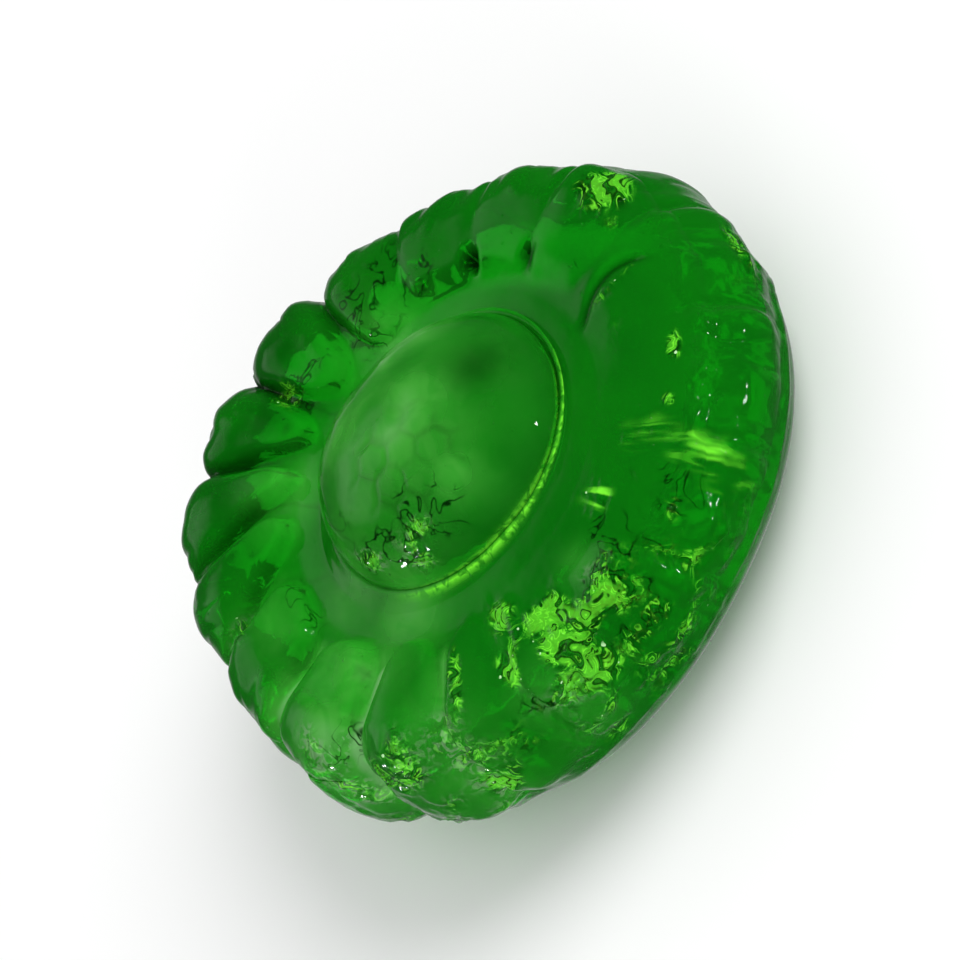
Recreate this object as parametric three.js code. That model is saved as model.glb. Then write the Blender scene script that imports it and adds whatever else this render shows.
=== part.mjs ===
// A moulded hard candy: a round drop of clear boiled sugar that lies on its flat back.
// A smooth button rises from the middle of the face, inside a low lip, a flat channel and a ring
// of egg-shaped petals, which run over the shoulder and down the wall as flutes. Round one half
// of the ring the petals have merged, and there the face sinks towards the edge.
// Millimetres, +Z up. The origin is under the middle of the outline, on the flat back.
import * as THREE from 'three';

const { lerp, smoothstep, degToRad } = THREE.MathUtils;

// Driving dimensions
const PETAL_COUNT = 17;
const COLUMNS_PER_PETAL = 8;

const BACK_RADIUS = 7.6; // the flat that the candy lies on
const BACK_EDGE_RADIUS = 11.1; // where the rounded back edge runs into the wall
const BACK_EDGE_HEIGHT = 3.0;
const WALL_BULGE_RADIUS = 11.65; // control point of the bulging wall, in a valley between flutes
const WALL_BULGE_HEIGHT = 5.2;
const SHOULDER_RADIUS = 10.8;
const SHOULDER_HEIGHT = 7.2;
const RING_OUTER_RADIUS = 9.7; // the floor between the petals
const RING_HEIGHT = 8.1;
const PETAL_INNER_RADIUS = 6.6;
const CHANNEL_INNER_RADIUS = 5.5; // the flat channel round the lip
const CHANNEL_HEIGHT = 7.75;
const LIP_RADIUS = 5.27; // the low lip round the foot of the button
const LIP_HEIGHT = 8.0;
const BUTTON_RADIUS = 5.02; // at the crease between the button and its lip
const BUTTON_FOOT_HEIGHT = 7.84;
const CANDY_HEIGHT = 11.2; // to the top of the button

const PETAL_RISE = 0.8; // a petal over the floor of the ring
const PETAL_FLATNESS = 4; // higher is a flatter top with steeper sides
const PETAL_END_RADIUS = 1.27; // the round inner end of a petal, in plan
const HALF_VALLEY = { inner: 0.34, outer: 0.04 }; // half the valley floor's width
const MERGED_RISE = 0.5; // merged petals over the floor of the ring
const MERGED_GROOVE = 0.1;
const FLUTE_DEPTH = { crisp: 0.85, merged: 0.5 }; // a flute over the valleys beside it, on the wall
const FLUTE_FLATNESS = 2.8;
const FLUTE_VALLEY = { crisp: 0.75, merged: 0.375 }; // how much of the depth a valley takes
const FLUTE_FADE = { bottom: 1.6, top: 4.2 }; // the flutes fade out between these two heights

// Distances along the surface from a petal's inner end: where the wall begins, and how long the
// change to it is.
const WALL_START = { crisp: 2.0, merged: 3.4 };

// One side of the face sinks from the lip outward, and its shoulder is rounded off.
const SUNK_DROP = 1.0;
const SUNK_START = -1.2;
const SUNK_END = 4.4;
const SUNK_SHOULDER = 0.25;
const SUNK_FLUTES = 0.35; // how much of the flutes' depth is left there

// The candy is uneven: oval, with three soft corners and one flatter side, a sloping face, a button
// off its centre and uneven petals.
const OVAL_SWING = 0.9;
const OVAL_ANGLE = -0.45;
const CORNER_SWING = 0.36;
const CORNER_ANGLE = -0.37;
const FLAT = { side: degToRad(151), reach: degToRad(15), depth: 0.55 };
const FACE_SLOPE = { rise: 0.35, side: degToRad(110) };
const BUTTON_SHIFT = new THREE.Vector2(0.44, -0.05);
const FIRST_VALLEY_ANGLE = 0.01;
const PETAL_WAVES = [
  { count: 1, swing: 0.035, phase: 0.15 },
  { count: 3, swing: 0.057, phase: -2.8 },
];
const PETAL_LEAN = { angle: degToRad(13), side: degToRad(137), reach: degToRad(28) };
const MERGED_SIDE = degToRad(315);
const SUNK_SIDE = degToRad(280);

const PITCH = (2 * Math.PI) / PETAL_COUNT;

function bell(distance, width) {
  return Math.exp(-((distance / width) ** 2));
}

function point(radius, height) {
  return new THREE.Vector2(radius, height);
}

function quarterArc(centre, radius, height, firstQuarter) {
  const start = (firstQuarter * Math.PI) / 2;
  return new THREE.EllipseCurve(centre.x, centre.y, radius, height, start, start + Math.PI / 2, false);
}

// Half of the candy's section, from the middle of the back to the top of the button, along a
// valley between two petals. Each stretch is a curve and its number of steps.
function sectionStretches() {
  const backEdge = point(BACK_EDGE_RADIUS, BACK_EDGE_HEIGHT);
  const wallBulge = point(WALL_BULGE_RADIUS, WALL_BULGE_HEIGHT);
  const shoulder = point(SHOULDER_RADIUS, SHOULDER_HEIGHT);
  const shoulderCorner = point(SHOULDER_RADIUS, RING_HEIGHT);
  const ring = point(RING_OUTER_RADIUS, RING_HEIGHT);
  const petalFoot = point(PETAL_INNER_RADIUS, CHANNEL_HEIGHT);
  const channel = point(CHANNEL_INNER_RADIUS, CHANNEL_HEIGHT);
  const lip = point(LIP_RADIUS, LIP_HEIGHT);
  const crease = point(BUTTON_RADIUS, BUTTON_FOOT_HEIGHT);
  const backEdgeCentre = point(BACK_RADIUS, BACK_EDGE_HEIGHT);
  const backEdgeWidth = BACK_EDGE_RADIUS - BACK_RADIUS;
  const buttonCentre = point(0, BUTTON_FOOT_HEIGHT);
  const buttonRise = CANDY_HEIGHT - BUTTON_FOOT_HEIGHT;
  return [
    [new THREE.LineCurve(point(0, 0), point(BACK_RADIUS, 0)), 1],
    [quarterArc(backEdgeCentre, backEdgeWidth, BACK_EDGE_HEIGHT, 3), 5],
    [new THREE.QuadraticBezierCurve(backEdge, wallBulge, shoulder), 5],
    [new THREE.QuadraticBezierCurve(shoulder, shoulderCorner, ring), 3],
    [new THREE.LineCurve(ring, petalFoot), 8],
    [new THREE.LineCurve(petalFoot, channel), 2],
    [new THREE.LineCurve(channel, lip), 1],
    [new THREE.LineCurve(lip, crease), 1],
    [quarterArc(buttonCentre, BUTTON_RADIUS, buttonRise, 0), 8],
  ];
}

function sectionPoints() {
  const points = [point(0, 0)];
  for (const [curve, steps] of sectionStretches()) {
    points.push(...curve.getPoints(steps).slice(1));
  }
  points[points.length - 1].x = 0;
  return points;
}

// Each point of the section with its outward normal and its travel: the way along the surface
// from the petals' inner ends, which grows outward and falls below 0 towards the button.
function sectionRows() {
  const points = sectionPoints();
  const isPetalFoot = ({ x, y }) => x === PETAL_INNER_RADIUS && y === CHANNEL_HEIGHT;
  const foot = points.findIndex(isPetalFoot);
  const ways = [0];
  for (let index = 1; index < points.length; index += 1) {
    ways.push(ways[index - 1] + points[index].distanceTo(points[index - 1]));
  }
  return points.map((place, index) => {
    const before = points[Math.max(index - 1, 0)];
    const after = points[Math.min(index + 1, points.length - 1)];
    const along = after.clone().sub(before).normalize();
    return { place, normal: point(along.y, -along.x), travel: ways[foot] - ways[index] };
  });
}

// An even angle goes in, and the angle where that part of a petal really lies comes out.
function unevenAngle(evenAngle, travel) {
  const start = evenAngle + FIRST_VALLEY_ANGLE;
  let angle = start;
  for (const { count, swing, phase } of PETAL_WAVES) {
    angle += swing * Math.sin(count * start + phase);
  }
  const onRing = smoothstep(travel, -1.2, 0) * (1 - smoothstep(travel, 5, 9));
  const lean = PETAL_LEAN.angle * bell(angle - PETAL_LEAN.side, PETAL_LEAN.reach);
  return angle + lean * (smoothstep(travel, 0, 4.5) - 0.6) * onRing;
}

// Where a vertex lies among the petals.
function spotAt(row, evenAngle) {
  const angle = unevenAngle(evenAngle, row.travel);
  const across = Math.abs(((evenAngle / PITCH) % 1) * 2 - 1); // 0 on a petal's middle, 1 in a valley
  const crispness = smoothstep(0.5 - 0.5 * Math.cos(angle - MERGED_SIDE), 0.42, 0.72);
  const sinking = smoothstep(0.5 + 0.5 * Math.cos(angle - SUNK_SIDE), 0.6, 0.95);
  return { ...row, angle, across, crispness, sinking };
}

function crispRise({ place, travel, across }) {
  const halfPitch = (place.x * PITCH) / 2;
  const halfFloor = lerp(HALF_VALLEY.inner, HALF_VALLEY.outer, smoothstep(travel, 0.6, 3.8));
  const fromEnd = Math.max(PETAL_END_RADIUS - travel, 0) / PETAL_END_RADIUS;
  const egg = Math.hypot((across * halfPitch) / (halfPitch - halfFloor), fromEnd);
  return PETAL_RISE * (1 - Math.min(egg, 1) ** PETAL_FLATNESS);
}

function mergedRise({ travel, across, sinking }) {
  const groove = MERGED_GROOVE * across ** 3 * smoothstep(travel, 1, 3.4);
  return MERGED_RISE * (1 - sinking) * smoothstep(travel, 0, 1.3) - groove;
}

function fluteRise({ across, crispness, sinking }) {
  const valley = lerp(FLUTE_VALLEY.merged, FLUTE_VALLEY.crisp, crispness);
  const depth = lerp(FLUTE_DEPTH.merged, FLUTE_DEPTH.crisp, crispness) * lerp(1, SUNK_FLUTES, sinking);
  return depth * (1 - valley * across ** FLUTE_FLATNESS);
}

// How far the surface stands out of the section.
function petalRise(spot) {
  if (spot.travel < 0) {
    return 0;
  }
  const wallStart = lerp(WALL_START.merged, WALL_START.crisp, spot.crispness);
  const onWall = smoothstep(spot.travel, wallStart, wallStart * 2);
  const aboveBack = smoothstep(spot.place.y - spot.across ** 2 * 0.6, FLUTE_FADE.bottom, FLUTE_FADE.top);
  const onFace = lerp(mergedRise(spot), crispRise(spot), spot.crispness);
  return aboveBack * lerp(onFace, fluteRise(spot), onWall);
}

// How far the outline is from round.
function unevenRound({ angle, place }) {
  const oval = OVAL_SWING * Math.cos(2 * (angle - OVAL_ANGLE));
  const corners = CORNER_SWING * Math.cos(3 * (angle - CORNER_ANGLE));
  const flatter = FLAT.depth * bell(angle - FLAT.side, FLAT.reach);
  const outerShare = smoothstep(place.x, LIP_RADIUS, RING_OUTER_RADIUS);
  return 1 + (oval + (corners - flatter) * outerShare) / BACK_EDGE_RADIUS;
}

function surfacePoint(row, evenAngle) {
  const spot = spotAt(row, evenAngle);
  const rounded = spot.sinking * SUNK_SHOULDER * bell(spot.travel - SUNK_END, 1.6);
  const rise = petalRise(spot) - rounded;
  const outward = smoothstep(spot.travel, SUNK_START, SUNK_END);
  const downTheWall = smoothstep(row.place.y, BACK_EDGE_HEIGHT, SHOULDER_HEIGHT);
  const sunk = SUNK_DROP * spot.sinking * outward * downTheWall;
  const radius = (row.place.x + row.normal.x * rise) * unevenRound(spot);
  const height = row.place.y + row.normal.y * rise - sunk;
  const shiftShare = spot.travel < 0 ? smoothstep(row.place.y, CHANNEL_HEIGHT, LIP_HEIGHT) : 0;
  const x = radius * Math.cos(spot.angle) + BUTTON_SHIFT.x * shiftShare;
  const y = radius * Math.sin(spot.angle) + BUTTON_SHIFT.y * shiftShare;
  const faceShare = smoothstep(height, BACK_EDGE_HEIGHT, CANDY_HEIGHT);
  const uphill = x * Math.cos(FACE_SLOPE.side) + y * Math.sin(FACE_SLOPE.side);
  return new THREE.Vector3(x, y, height + (FACE_SLOPE.rise * faceShare * uphill) / BACK_EDGE_RADIUS);
}

function candyGeometry() {
  const rows = sectionRows();
  const columns = PETAL_COUNT * COLUMNS_PER_PETAL;
  const geometry = new THREE.LatheGeometry(rows.map((row) => row.place), columns);
  const position = geometry.attributes.position;
  for (let index = 0; index < position.count; index += 1) {
    const row = rows[index % rows.length];
    const column = Math.floor(index / rows.length) % columns;
    const place = surfacePoint(row, (column * 2 * Math.PI) / columns);
    position.setXYZ(index, place.x, place.y, place.z);
  }
  geometry.computeBoundingBox();
  const middle = geometry.boundingBox.getCenter(new THREE.Vector3());
  geometry.translate(-middle.x, -middle.y, 0);
  geometry.computeVertexNormals();
  return geometry;
}

const boiledSugar = new THREE.MeshStandardMaterial({ color: 0x147f0e, roughness: 0.12, metalness: 0 });
const candy = new THREE.Mesh(candyGeometry(), boiledSugar);
candy.name = 'candy';

const object = new THREE.Group();
object.add(candy);

export default object;
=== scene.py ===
"""A moulded hard candy of clear green boiled sugar, lying on its flat back on a pale table.

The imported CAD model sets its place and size. The fine surface made here stands for it: a section is
spun into a smooth round drop, and its vertices are then moved to form the petals, the flutes, the
worn relief on the button and the small faults of a candy that was pressed while it was soft.
"""
import math

import bmesh
import bpy
from mathutils import Matrix, Vector, noise


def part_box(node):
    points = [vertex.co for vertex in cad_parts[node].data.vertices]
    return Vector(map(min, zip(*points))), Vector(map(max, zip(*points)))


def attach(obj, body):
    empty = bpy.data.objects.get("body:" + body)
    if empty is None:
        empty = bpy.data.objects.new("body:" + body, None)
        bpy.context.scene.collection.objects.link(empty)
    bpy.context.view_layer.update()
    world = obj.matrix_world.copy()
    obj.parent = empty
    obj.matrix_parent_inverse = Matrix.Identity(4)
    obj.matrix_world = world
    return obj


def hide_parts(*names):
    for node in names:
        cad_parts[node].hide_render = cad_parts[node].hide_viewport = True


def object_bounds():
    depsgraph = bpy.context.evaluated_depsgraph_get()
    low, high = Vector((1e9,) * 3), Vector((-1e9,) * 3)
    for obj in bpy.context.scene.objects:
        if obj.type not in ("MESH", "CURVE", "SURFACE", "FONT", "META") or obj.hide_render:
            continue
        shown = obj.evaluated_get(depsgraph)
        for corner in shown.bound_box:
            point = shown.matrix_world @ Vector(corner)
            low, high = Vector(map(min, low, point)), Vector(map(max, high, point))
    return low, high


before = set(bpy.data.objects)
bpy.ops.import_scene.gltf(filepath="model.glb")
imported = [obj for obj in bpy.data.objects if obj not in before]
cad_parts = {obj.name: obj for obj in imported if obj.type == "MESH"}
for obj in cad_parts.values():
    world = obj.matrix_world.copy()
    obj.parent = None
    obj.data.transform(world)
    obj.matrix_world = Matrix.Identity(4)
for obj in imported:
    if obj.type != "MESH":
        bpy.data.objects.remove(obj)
cad_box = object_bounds()

MM = 0.001
TURN = 2 * math.pi

# The warp of the crinkles is drawn at random: the seed gives the same candy in each run
noise.seed_set(17)

# The candy's form, in millimetres: the section runs along a valley between two petals
PETAL_COUNT = 17
COLUMNS_PER_PETAL = 30
PITCH = TURN / PETAL_COUNT

BACK_RADIUS = 7.6
BACK_EDGE_RADIUS = 11.1
BACK_EDGE_HEIGHT = 3.0
WALL_BULGE = (11.65, 5.2)
SHOULDER = (10.8, 7.2)
RING_OUTER = (9.7, 8.1)
PETAL_INNER_RADIUS = 6.6
CHANNEL_HEIGHT = 7.75
CHANNEL_INNER_RADIUS = 5.5
LIP_RADIUS = 5.27
LIP_HEIGHT = 8.0
LIP_FLARE = 0.12
LIP_CREST = 0.1
CREASE = (5.02, 7.84)
BUTTON_RADIUS = 5.02
CANDY_HEIGHT = 11.2

# Rows of vertices along each stretch of that section
BACK_ROWS = 12
BACK_EDGE_ROWS = 24
WALL_ROWS = 40
SHOULDER_ROWS = 16
RING_ROWS = 26
CHANNEL_ROWS = 6
LIP_ROWS = 6
BUTTON_ROWS = 44

# How unevenly the whole candy was pressed: round its edge the petals run from crisp to merged into one
# another, and in one part the face sinks towards the edge
OVAL_SWING = 0.9
OVAL_ANGLE = -0.45
CORNER_SWING = 0.36
CORNER_ANGLE = -0.37
FLAT_SIDE = math.radians(151)
FLAT_REACH = math.radians(15)
FLAT_DEPTH = 0.55
FACE_SLOPE = 0.35
SLOPE_SIDE = math.radians(110)
BUTTON_SHIFT = Vector((0.44, -0.05))
FIRST_VALLEY_ANGLE = 0.01
PETAL_WAVES = ((1, 0.035, 0.15), (3, 0.057, -2.8))
MERGED_SIDE = math.radians(315)
CRISP_BAND = (0.42, 0.72)
SUNK_SIDE = math.radians(280)
SUNK_BAND = (0.6, 0.95)


def smoothstep(value, low, high):
    share = min(max((value - low) / (high - low), 0.0), 1.0)
    return share * share * (3 - 2 * share)


def bell(distance, width):
    return math.exp(-((distance / width) ** 2))


def mix(low, high, share):
    return low + (high - low) * share


def swell(place, size, start=(0, 0, 0)):
    """A slow random swell of one size, from -1 to 1. Another start gives another swell."""
    return noise.noise(place / size + Vector(start))


# ---------------------------------------------------------------- section


def straight(start, end, steps):
    return [
        (start[0] + (end[0] - start[0]) * step / steps, start[1] + (end[1] - start[1]) * step / steps)
        for step in range(1, steps + 1)
    ]


def bend(start, corner, end, steps):
    points = []
    for step in range(1, steps + 1):
        t = step / steps
        weights = ((1 - t) ** 2, 2 * t * (1 - t), t * t)
        points.append(tuple(
            weights[0] * start[axis] + weights[1] * corner[axis] + weights[2] * end[axis]
            for axis in (0, 1)
        ))
    return points


def quarter_arc(centre, radius, height, first_quarter, steps):
    points = []
    for step in range(1, steps + 1):
        angle = (first_quarter + step / steps) * math.pi / 2
        points.append((centre[0] + radius * math.cos(angle), centre[1] + height * math.sin(angle)))
    return points


def section_points():
    """Half of the candy's section as (radius, height), from the middle of the back to the top."""
    back_end = (BACK_RADIUS, 0.0)
    back_edge = (BACK_EDGE_RADIUS, BACK_EDGE_HEIGHT)
    edge_round = BACK_EDGE_RADIUS - BACK_RADIUS
    channel_outer = (PETAL_INNER_RADIUS, CHANNEL_HEIGHT)
    channel_inner = (CHANNEL_INNER_RADIUS, CHANNEL_HEIGHT)
    lip = (LIP_RADIUS, LIP_HEIGHT)
    button_height = CANDY_HEIGHT - CREASE[1]
    points = [(0.0, 0.0)]
    points += straight(points[0], back_end, BACK_ROWS)
    points += quarter_arc((BACK_RADIUS, BACK_EDGE_HEIGHT), edge_round, BACK_EDGE_HEIGHT, 3, BACK_EDGE_ROWS)
    points += bend(back_edge, WALL_BULGE, SHOULDER, WALL_ROWS)
    points += bend(SHOULDER, (SHOULDER[0], RING_OUTER[1]), RING_OUTER, SHOULDER_ROWS)
    points += straight(RING_OUTER, channel_outer, RING_ROWS)
    points += straight(channel_outer, channel_inner, CHANNEL_ROWS)
    points += bend(channel_inner, (LIP_RADIUS + LIP_FLARE, CHANNEL_HEIGHT), lip, LIP_ROWS)
    points += bend(lip, (CREASE[0], LIP_HEIGHT + LIP_CREST), CREASE, LIP_ROWS)
    points += quarter_arc((0.0, CREASE[1]), BUTTON_RADIUS, button_height, 0, BUTTON_ROWS)
    points[-1] = (0.0, CANDY_HEIGHT)
    return points


def section_rows():
    """Each section point with its outward normal and its travel, the way along the surface: from 0 at the
    petals' inner ends it grows over the petals and down the wall, and falls below 0 over the channel and
    the button."""
    points = section_points()
    foot = points.index((PETAL_INNER_RADIUS, CHANNEL_HEIGHT))
    rows = []
    for index, place in enumerate(points):
        before = points[max(index - 1, 0)]
        after = points[min(index + 1, len(points) - 1)]
        along = Vector((after[0] - before[0], after[1] - before[1])).normalized()
        rows.append({"place": place, "normal": (along.y, -along.x), "travel": 0.0})
    for index in range(foot - 1, -1, -1):
        rows[index]["travel"] = rows[index + 1]["travel"] + math.dist(points[index], points[index + 1])
    for index in range(foot + 1, len(rows)):
        rows[index]["travel"] = rows[index - 1]["travel"] - math.dist(points[index], points[index - 1])
    return rows


# ---------------------------------------------------------------- petals and flutes

# On one side the petals lean: round a place this far along them, and only on the ring
PETAL_LEAN = math.radians(13)
LEAN_SIDE = math.radians(137)
LEAN_REACH = math.radians(28)
LEAN_TRAVEL = (0.0, 4.5)
LEAN_PIVOT = 0.6
RING_START = (-1.2, 0.0)
RING_END = (5.0, 9.0)

# What each petal or valley has its own chance value for
OWN_RISE, OWN_PIT, OWN_CUT, OWN_VALLEY, OWN_END = 2, 3, 4, 5, 6
CHANCE_SPREAD = 1.6


def uneven_angle(even_angle, travel):
    """The petals are uneven: where an even angle really lies on this candy. On one side they also lean."""
    start = even_angle + FIRST_VALLEY_ANGLE
    angle = start + sum(swing * math.sin(count * start + phase) for count, swing, phase in PETAL_WAVES)
    lean = PETAL_LEAN * bell(angle - LEAN_SIDE, LEAN_REACH) * (smoothstep(travel, *LEAN_TRAVEL) - LEAN_PIVOT)
    on_ring = smoothstep(travel, *RING_START) * (1 - smoothstep(travel, *RING_END))
    return angle + lean * on_ring


def own_share(number, kind):
    """A petal's or a valley's own chance value, from about -1 to 1."""
    return CHANCE_SPREAD * noise.noise(Vector((number * 3.71 + 0.4, kind * 7.3 + 0.6, 0.5)))


# Where the petals turn into flutes, and where the flutes fade out above the back
MERGED_WALL_START = 3.4
CRISP_WALL_START = 2.0
FLUTE_FADE = (1.6, 4.2)
FLUTE_END_BOW = 0.6
FLUTE_END_WANDER = 0.5


class Spot:
    """One vertex of the spun section and where it lies among the petals. Across is 0 in the middle of a
    petal and 1 in a valley."""

    def __init__(self, row, even_angle):
        self.travel = row["travel"]
        self.radius, self.height = row["place"]
        self.normal = row["normal"]
        self.angle = uneven_angle(even_angle, self.travel)
        position = even_angle / PITCH
        self.petal = math.floor(position)
        self.valley = round(position) % PETAL_COUNT
        self.across = abs((position % 1) * 2 - 1)
        self.from_valley = (1 - self.across) * self.radius * PITCH / 2
        self.crispness = smoothstep(0.5 - 0.5 * math.cos(self.angle - MERGED_SIDE), *CRISP_BAND)
        self.sinking = smoothstep(0.5 + 0.5 * math.cos(self.angle - SUNK_SIDE), *SUNK_BAND)
        wall_start = mix(MERGED_WALL_START, CRISP_WALL_START, self.crispness)
        self.on_wall = smoothstep(self.travel, wall_start, 2 * wall_start)
        bow = self.across ** 2 * FLUTE_END_BOW
        wander = FLUTE_END_WANDER * own_share(self.petal, OWN_END) * (1 - self.across ** 2)
        self.above_back = smoothstep(self.height - bow - wander, *FLUTE_FADE)
        x, y = self.radius * math.cos(self.angle), self.radius * math.sin(self.angle)
        self.place = Vector((x, y, self.height))

    def turn_from(self, side):
        """How far round the candy the spot lies from a side, the shorter way."""
        return (self.angle - side + math.pi) % TURN - math.pi


# How high the petals and the flutes stand, and how flat their tops are
PETAL_RISE = 0.8
PETAL_FLATNESS = 6.0
PETAL_END_RADIUS = 1.27
PETAL_CHANCE = 0.12
VALLEY_FLOOR = (0.34, 0.04)
VALLEY_NARROWS = (0.6, 3.8)
MERGED_RISE = 0.5
MERGED_START = (0.0, 1.3)
MERGED_GROOVE = 0.1
GROOVE_START = (1.0, 3.4)
FLUTE_DEPTH = 0.5
CRISP_FLUTE_DEPTH = 0.85
FLUTE_FLATNESS = 2.8
SUNK_FLUTES = 0.35
VALLEY_SHARE = 0.75
VALLEY_CHANCE = 0.5
MERGED_VALLEYS = 0.5


def petal_rise(spot):
    """On the crisp side each petal is a flat-topped egg with a flat valley round it. On the other side
    the petals have merged. On the wall each petal goes on as a rounded flute."""
    if spot.travel < 0:
        return 0.0
    groove = MERGED_GROOVE * spot.across ** 3 * smoothstep(spot.travel, *GROOVE_START)
    merged = MERGED_RISE * (1 - spot.sinking) * smoothstep(spot.travel, *MERGED_START) - groove
    own = 1 + PETAL_CHANCE * own_share(spot.petal, OWN_RISE)
    half_pitch = spot.radius * PITCH / 2
    half_floor = mix(*VALLEY_FLOOR, smoothstep(spot.travel, *VALLEY_NARROWS))
    from_end = max(PETAL_END_RADIUS - spot.travel, 0.0) / PETAL_END_RADIUS
    egg = min(math.hypot(spot.across * half_pitch / (half_pitch - half_floor), from_end), 1.0)
    crisp = PETAL_RISE * own * (1 - egg ** PETAL_FLATNESS)
    valley_share = VALLEY_SHARE + VALLEY_CHANCE * own_share(spot.valley, OWN_VALLEY)
    valley_share *= mix(MERGED_VALLEYS, 1.0, spot.crispness)
    depth = mix(FLUTE_DEPTH, CRISP_FLUTE_DEPTH, spot.crispness) * mix(1.0, SUNK_FLUTES, spot.sinking)
    flute = depth * own * (1 - valley_share * spot.across ** FLUTE_FLATNESS)
    return spot.above_back * mix(mix(merged, crisp, spot.crispness), flute, spot.on_wall)


SUNK_DROP = 1.0
SUNK_START = -1.2
SUNK_END = 4.4
SUNK_SHOULDER = 0.25
SUNK_SHOULDER_REACH = 1.6


def sunk_side(spot):
    """How far the sunk side drops from the lip outward, and how far its shoulder is rounded off."""
    outward = smoothstep(spot.travel, SUNK_START, SUNK_END)
    down_the_wall = smoothstep(spot.height, BACK_EDGE_HEIGHT, SHOULDER[1])
    rounded = bell(spot.travel - SUNK_END, SUNK_SHOULDER_REACH)
    return spot.sinking * SUNK_DROP * outward * down_the_wall, spot.sinking * SUNK_SHOULDER * rounded


PIT_SIDE = math.radians(14)
PIT_REACH = math.radians(22)
PIT_TRAVEL = 1.05
PIT_LENGTH = 0.42
PIT_WIDTH = 0.28
PIT_DEPTH = 0.6
PIT_CHANCE = 0.3
PIT_RANGE = (-1.0, 3.5)


def in_pit(spot, width):
    """How far inside one of the pits a spot lies: one at the inner end of each valley on one side."""
    near_side = bell(spot.turn_from(PIT_SIDE), PIT_REACH)
    return near_side * bell(spot.from_valley, width) * bell(spot.travel - PIT_TRAVEL, PIT_LENGTH)


def valley_pit(spot):
    """Where petals have merged, a small sunken pit is left of the valley at its inner end."""
    if not PIT_RANGE[0] < spot.travel < PIT_RANGE[1]:
        return 0.0
    return -PIT_DEPTH * (1 + PIT_CHANCE * own_share(spot.valley, OWN_PIT)) * in_pit(spot, PIT_WIDTH)


LAST_FOLD_SIDE = math.radians(332)
LAST_FOLD_BOW = math.radians(5)
LAST_FOLD_START = (-0.3, 0.5)
LAST_FOLD_END = (2.4, 3.6)
LAST_FOLD_LENGTH = 3.4
LAST_FOLD_WIDTH = 0.15
LAST_FOLD_DEPTH = 0.2


def last_fold(spot):
    """How near a spot is to the one fold left of a valley, where the petals run out into the smooth side."""
    along = smoothstep(spot.travel, *LAST_FOLD_START) * (1 - smoothstep(spot.travel, *LAST_FOLD_END))
    if along == 0.0:
        return 0.0
    bow = LAST_FOLD_BOW * math.sin(math.pi * min(max(spot.travel / LAST_FOLD_LENGTH, 0.0), 1.0))
    return along * bell(spot.turn_from(LAST_FOLD_SIDE + bow) * spot.radius, LAST_FOLD_WIDTH)


GROOVED_WALL = (2.6, 4.2)
CUT_DEPTH = 0.14
CUT_WIDTH = 0.2
CUT_CHANCE = 0.5
RIB_DEPTH = 0.26
RIB_WIDTH = 1.25
RIB_LENGTH = 9
FINE_RIB_DEPTH = 0.05
FINE_RIB_WIDTH = 0.55
FINE_RIB_LENGTH = 6
SCRATCH_DEPTH = 0.06
SCRATCH_WIDTH = 0.07


def ribs_up_the_wall(place, width, length, start):
    """Uneven ribs of this width, drawn out to this length up the wall."""
    return noise.noise(Vector((place.x / width, place.y / width, place.z / length + start)))


def wall_grooves(spot):
    """A sharp cut along each valley of the wall, and the fine uneven ribs between them."""
    share = spot.above_back * smoothstep(spot.travel, *GROOVED_WALL)
    if share == 0.0:
        return 0.0
    cut = CUT_DEPTH * bell(spot.from_valley, CUT_WIDTH) * (1 + CUT_CHANCE * own_share(spot.valley, OWN_CUT))
    ribs = ribs_up_the_wall(spot.place, RIB_WIDTH, RIB_LENGTH, 20)
    fine = ribs_up_the_wall(spot.place, FINE_RIB_WIDTH, FINE_RIB_LENGTH, 40)
    scratch = SCRATCH_DEPTH * bell(ribs, SCRATCH_WIDTH)
    return share * (RIB_DEPTH * ribs + FINE_RIB_DEPTH * fine - cut - scratch)


# ---------------------------------------------------------------- patches

# Where the sugar was crumpled like foil while it set, as
# (angle in degrees, travel, reach round the candy, reach along the section, strength)
CRINKLES = (
    (247, 3.5, 1.4, 1.2, 1.1),
    (246, 2.1, 1.1, 0.6, 1.0),
    (257, 4.2, 1.1, 0.8, 1.0),
    (245, 5.6, 1.0, 0.9, 1.0),
    (238, 4.9, 0.8, 0.9, 0.8),
    (234, 1.3, 0.6, 1.0, 1.0),
    (231, 2.8, 0.5, 0.9, 0.9),
    (228, 5.2, 0.9, 0.8, 0.7),
    (262, 6.6, 0.9, 0.6, 0.55),
    (274, 6.3, 0.6, 0.7, 0.7),
    (279, 4.6, 0.4, 0.5, 0.5),
    (303, 3.0, 0.3, 0.3, 0.8),
    (314, 3.0, 0.5, 0.3, 0.6),
    (324, 1.0, 0.35, 0.5, 0.6),
    (334, 1.6, 0.25, 1.4, 0.5),
    (349, 3.7, 0.75, 0.6, 1.0),
    (344, 3.1, 0.3, 0.3, 0.7),
    (219, 2.5, 0.3, 1.5, 0.5),
    (217, 4.6, 1.1, 1.2, 0.7),
    (216, 6.5, 0.9, 0.8, 0.9),
    (202, 4.2, 1.1, 0.9, 0.6),
    (190, 4.8, 1.2, 0.9, 0.5),
    (150, 3.0, 0.6, 0.8, 0.4),
    (215, -4.2, 1.0, 0.5, 0.6),
    (90, 2.0, 0.6, 0.6, 0.5),
    (75, 2.0, 0.5, 0.6, 0.5),
    (215, -3.3, 1.2, 0.6, 0.5),
    (180, -3.6, 1.0, 0.6, 0.5),
    (60, 6.0, 1.4, 1.2, 0.5),
    (120, 6.5, 1.4, 1.2, 0.5),
    (330, 7.0, 1.4, 1.2, 0.5),
)
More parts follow.
